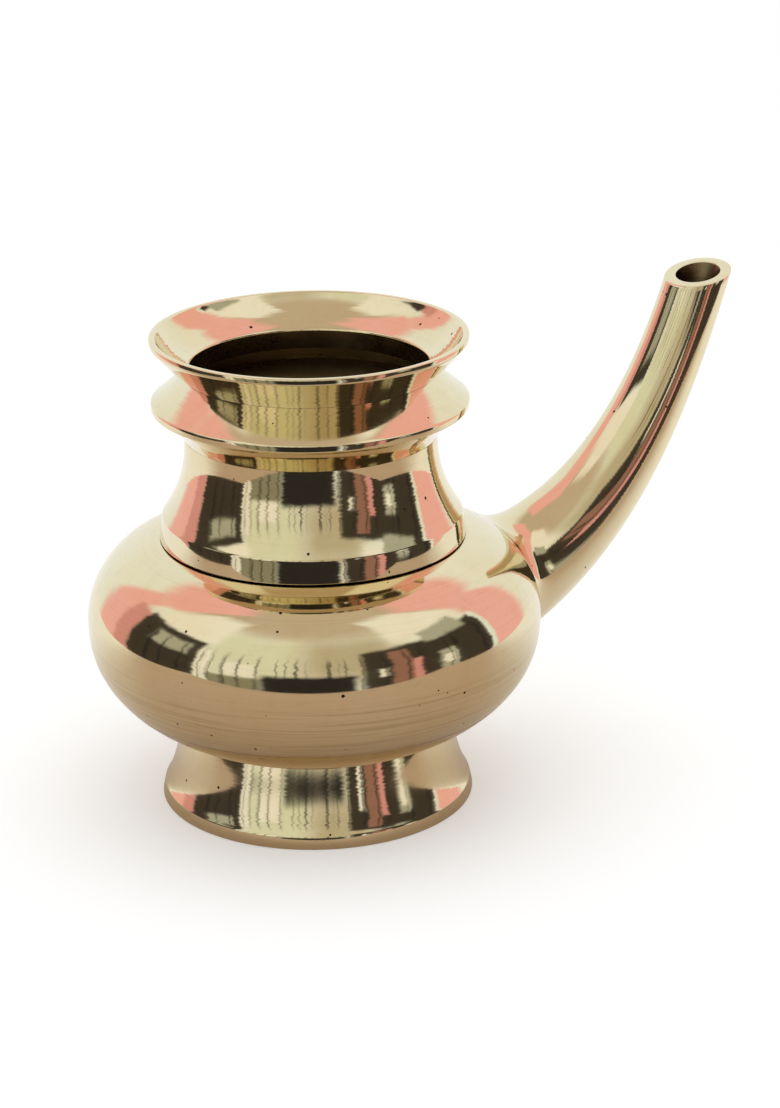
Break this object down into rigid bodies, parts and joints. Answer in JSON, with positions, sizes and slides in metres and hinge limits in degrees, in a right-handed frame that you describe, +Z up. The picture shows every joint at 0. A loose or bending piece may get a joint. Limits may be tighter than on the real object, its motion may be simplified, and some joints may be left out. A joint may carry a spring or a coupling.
{
  "type": "spouted water pot",
  "caption": "Round-bellied cast brass water pot on a flared foot, with a waisted neck, flanged collar, funnel mouth and a long upswept side spout.",
  "frame": {"origin": "on the table plane, under the middle of the whole pot's box", "axes": "+X toward the spout, the longest extent; +Y across, the shortest extent; +Z up"},
  "size_m": [0.2072, 0.13, 0.1382],
  "materials": {
    "polished_brass": "hand-polished cast brass, near mirror, with fine lathe lines and small casting pits",
    "satin_brass": "turned and brushed cast brass, satin, with horizontal lathe lines",
    "braze_filler": "unpolished braze filler, dull and slightly rippled"
  },
  "bodies": {
    "root": {"foot_ring": "polished_brass", "lower_bowl": "satin_brass", "upper_body": "polished_brass", "neck": "polished_brass", "collar_flange": "polished_brass", "mouth_rim": "polished_brass", "spout": "polished_brass", "belly_seam_braze": "braze_filler", "neck_seam_braze": "braze_filler", "foot_seam_braze": "braze_filler", "spout_seam_braze": "braze_filler"}
  },
  "joints": []
}
